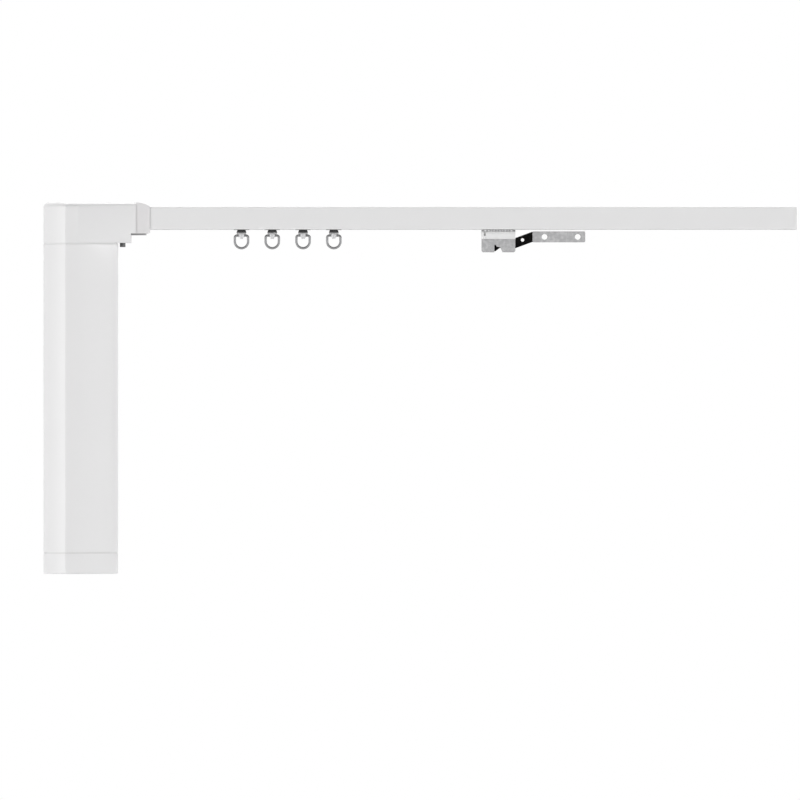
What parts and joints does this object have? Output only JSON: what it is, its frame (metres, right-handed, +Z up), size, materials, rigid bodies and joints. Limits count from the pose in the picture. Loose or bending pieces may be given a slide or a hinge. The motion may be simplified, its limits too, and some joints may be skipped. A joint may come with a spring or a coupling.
{
  "type": "electric curtain track",
  "caption": "Motorised curtain track: a motor tube hangs from a drive head that pulls a belt carriage with an offset arm along a white rail, beside gliders with rings.",
  "frame": {"origin": "middle of the exposed rail, on its top face, at the mouth of the bracket channel", "axes": "+X along the rail away from the motor, -Y to the front where the arm is, +Z up"},
  "size_m": [0.5381, 0.044, 0.2652],
  "materials": {
    "white_plastic": "satin white",
    "white_rail": "white powder coat",
    "socket_plastic": "satin off-white",
    "black_plastic": "satin black",
    "dark_plastic": "matte dark grey",
    "grey_plastic": "satin grey",
    "wheel_plastic": "smooth white",
    "rubber": "matte black",
    "gasket": "matte grey",
    "zinc_steel": "zinc plated",
    "nickel_wire": "nickel plated",
    "black_steel": "black paint",
    "machined_steel": "machined",
    "magnet": "dark ferrite",
    "board_green": "green solder mask",
    "brass_pin": "bright"
  },
  "bodies": {
    "track": {"rail": "white_rail", "rail_end_cap": "white_plastic", "return_block": "dark_plastic", "idler_axle": "machined_steel", "drive_belt": "rubber", "head_housing": "white_plastic", "head_base": "white_plastic", "rail_socket": "socket_plastic", "rail_lock_plate": "dark_plastic", "upper_bearing": "machined_steel", "lower_bearing": "machined_steel", "seam_gaskets": "gasket", "motor_tube": "white_plastic", "bottom_cap": "white_plastic", "motor_mount": "dark_plastic", "gearbox_ring": "machined_steel", "motor_can": "machined_steel", "stator_magnets": "magnet", "motor_damper": "rubber", "control_board": "board_green", "board_parts": "dark_plastic", "power_inlet": "black_plastic", "inlet_pins": "brass_pin", "case_screws": "zinc_steel", "release_spring": "zinc_steel"},
    "button": {"release_button": "dark_plastic"},
    "rotor_shaft": {"rotor": "machined_steel"},
    "drive": {"planet_carrier": "machined_steel", "drive_coupling": "dark_plastic", "drive_pulley": "wheel_plastic"},
    "idler": {"idler_pulley": "wheel_plastic"},
    "carriage": {"carriage_frame": "dark_plastic", "belt_clamp": "dark_plastic", "glide_strip": "grey_plastic", "carriage_saddle": "white_plastic", "saddle_screws": "zinc_steel", "hook_plate": "zinc_steel", "arm_crank": "black_steel", "arm_strap": "zinc_steel"},
    "carriage_axle_1": {"carriage_wheels_1": "wheel_plastic"},
    "carriage_axle_2": {"carriage_wheels_2": "wheel_plastic"},
    "planet_1": {"planet_gear_1": "machined_steel"},
    "planet_2": {"planet_gear_2": "machined_steel"},
    "planet_3": {"planet_gear_3": "machined_steel"},
    "glider_1": {"glider_truck_1": "black_plastic"},
    "glider_axle_1": {"glider_wheels_1": "wheel_plastic"},
    "swivel_1": {"glider_swivel_1": "grey_plastic"},
    "ring_1": {"glider_ring_1": "nickel_wire"},
    "glider_2": {"glider_truck_2": "black_plastic"},
    "glider_axle_2": {"glider_wheels_2": "wheel_plastic"},
    "swivel_2": {"glider_swivel_2": "grey_plastic"},
    "ring_2": {"glider_ring_2": "nickel_wire"},
    "glider_3": {"glider_truck_3": "black_plastic"},
    "glider_axle_3": {"glider_wheels_3": "wheel_plastic"},
    "swivel_3": {"glider_swivel_3": "grey_plastic"},
    "ring_3": {"glider_ring_3": "nickel_wire"},
    "glider_4": {"glider_truck_4": "black_plastic"},
    "glider_axle_4": {"glider_wheels_4": "wheel_plastic"},
    "swivel_4": {"glider_swivel_4": "grey_plastic"},
    "ring_4": {"glider_ring_4": "nickel_wire"}
  },
  "joints": [
    {"name": "carriage_slide", "type": "slide", "parent": "track", "child": "carriage", "axis": [1, 0, 0], "range_m": [-0.165, 0.14]},
    {"name": "drive_spin", "type": "hinge", "parent": "track", "child": "drive", "pos_m": [-0.2844, 0, -0.00975], "axis": [0, 0, 1], "range_deg": [-848.6, 720.1]},
    {"name": "idler_spin", "type": "hinge", "parent": "track", "child": "idler", "pos_m": [0.21316, 0, -0.00975], "axis": [0, 0, 1], "range_deg": [-848.6, 720.1]},
    {"name": "rotor_spin", "type": "hinge", "parent": "track", "child": "rotor_shaft", "pos_m": [-0.2844, 0, -0.0856], "axis": [0, 0, 1], "range_deg": [-4242.9, 3600]},
    {"name": "planet_spin_1", "type": "hinge", "parent": "drive", "child": "planet_1", "pos_m": [-0.2754, 0, -0.0486], "axis": [0, 0, 1], "range_deg": [-1920, 2262.9]},
    {"name": "planet_spin_2", "type": "hinge", "parent": "drive", "child": "planet_2", "pos_m": [-0.2889, 0.00779, -0.0486], "axis": [0, 0, 1], "range_deg": [-1920, 2262.9]},
    {"name": "planet_spin_3", "type": "hinge", "parent": "drive", "child": "planet_3", "pos_m": [-0.2889, -0.00779, -0.0486], "axis": [0, 0, 1], "range_deg": [-1920, 2262.9]},
    {"name": "carriage_roll_1", "type": "hinge", "parent": "carriage", "child": "carriage_axle_1", "pos_m": [0.0116, 0, -0.0105], "axis": [0, 1, 0], "range_deg": [-2424.1, 2056.8]},
    {"name": "carriage_roll_2", "type": "hinge", "parent": "carriage", "child": "carriage_axle_2", "pos_m": [0.0266, 0, -0.0105], "axis": [0, 1, 0], "range_deg": [-2424.1, 2056.8]},
    {"name": "glider_slide_1", "type": "slide", "parent": "track", "child": "glider_1", "axis": [1, 0, 0], "range_m": [-0.0535, 0.0454]},
    {"name": "glider_roll_1", "type": "hinge", "parent": "glider_1", "child": "glider_axle_1", "pos_m": [-0.1645, 0, -0.0105], "axis": [0, 1, 0], "range_deg": [-786, 666.9]},
    {"name": "swivel_turn_1", "type": "hinge", "parent": "glider_1", "child": "swivel_1", "pos_m": [-0.1645, 0, -0.0183], "axis": [0, 0, 1], "continuous": true},
    {"name": "ring_swing_1", "type": "hinge", "parent": "swivel_1", "child": "ring_1", "pos_m": [-0.1645, 0, -0.0203], "axis": [1, 0, 0], "range_deg": [-50, 50]},
    {"name": "glider_slide_2", "type": "slide", "parent": "track", "child": "glider_2", "axis": [1, 0, 0], "range_m": [-0.05901, 0.05007]},
    {"name": "glider_roll_2", "type": "hinge", "parent": "glider_2", "child": "glider_axle_2", "pos_m": [-0.1425, 0, -0.0105], "axis": [0, 1, 0], "range_deg": [-866.8, 735.5]},
    {"name": "swivel_turn_2", "type": "hinge", "parent": "glider_2", "child": "swivel_2", "pos_m": [-0.1425, 0, -0.0183], "axis": [0, 0, 1], "continuous": true},
    {"name": "ring_swing_2", "type": "hinge", "parent": "swivel_2", "child": "ring_2", "pos_m": [-0.1425, 0, -0.0203], "axis": [1, 0, 0], "range_deg": [-50, 50]},
    {"name": "glider_slide_3", "type": "slide", "parent": "track", "child": "glider_3", "axis": [1, 0, 0], "range_m": [-0.0645, 0.05473]},
    {"name": "glider_roll_3", "type": "hinge", "parent": "glider_3", "child": "glider_axle_3", "pos_m": [-0.1205, 0, -0.0105], "axis": [0, 1, 0], "range_deg": [-947.6, 804.1]},
    {"name": "swivel_turn_3", "type": "hinge", "parent": "glider_3", "child": "swivel_3", "pos_m": [-0.1205, 0, -0.0183], "axis": [0, 0, 1], "continuous": true},
    {"name": "ring_swing_3", "type": "hinge", "parent": "swivel_3", "child": "ring_3", "pos_m": [-0.1205, 0, -0.0203], "axis": [1, 0, 0], "range_deg": [-50, 50]},
    {"name": "glider_slide_4", "type": "slide", "parent": "track", "child": "glider_4", "axis": [1, 0, 0], "range_m": [-0.07, 0.0594]},
    {"name": "glider_roll_4", "type": "hinge", "parent": "glider_4", "child": "glider_axle_4", "pos_m": [-0.0985, 0, -0.0105], "axis": [0, 1, 0], "range_deg": [-1028.4, 872.6]},
    {"name": "swivel_turn_4", "type": "hinge", "parent": "glider_4", "child": "swivel_4", "pos_m": [-0.0985, 0, -0.0183], "axis": [0, 0, 1], "continuous": true},
    {"name": "ring_swing_4", "type": "hinge", "parent": "swivel_4", "child": "ring_4", "pos_m": [-0.0985, 0, -0.0203], "axis": [1, 0, 0], "range_deg": [-50, 50]},
    {"name": "release_press", "type": "slide", "parent": "track", "child": "button", "axis": [0, 0, 1], "range_m": [0, 0.002], "stiffness_N_per_m": 400, "springref_m": -0.0015, "deforming": ["release_spring"]}
  ],
  "couplings": [
    {"joint": "drive_spin", "follows": "carriage_slide", "rad_per_m": 89.76},
    {"joint": "idler_spin", "follows": "carriage_slide", "rad_per_m": 89.76},
    {"joint": "rotor_spin", "follows": "carriage_slide", "rad_per_m": 448.8},
    {"joint": "planet_spin_1", "follows": "carriage_slide", "rad_per_m": -239.36},
    {"joint": "planet_spin_2", "follows": "carriage_slide", "rad_per_m": -239.36},
    {"joint": "planet_spin_3", "follows": "carriage_slide", "rad_per_m": -239.36},
    {"joint": "carriage_roll_1", "follows": "carriage_slide", "rad_per_m": 256.41},
    {"joint": "carriage_roll_2", "follows": "carriage_slide", "rad_per_m": 256.41},
    {"joint": "glider_slide_1", "follows": "carriage_slide", "ratio": 0.32424},
    {"joint": "glider_roll_1", "follows": "carriage_slide", "rad_per_m": 83.139},
    {"joint": "glider_slide_2", "follows": "carriage_slide", "ratio": 0.35758},
    {"joint": "glider_roll_2", "follows": "carriage_slide", "rad_per_m": 91.686},
    {"joint": "glider_slide_3", "follows": "carriage_slide", "ratio": 0.39091},
    {"joint": "glider_roll_3", "follows": "carriage_slide", "rad_per_m": 100.23},
    {"joint": "glider_slide_4", "follows": "carriage_slide", "ratio": 0.42424},
    {"joint": "glider_roll_4", "follows": "carriage_slide", "rad_per_m": 108.78}
  ]
}
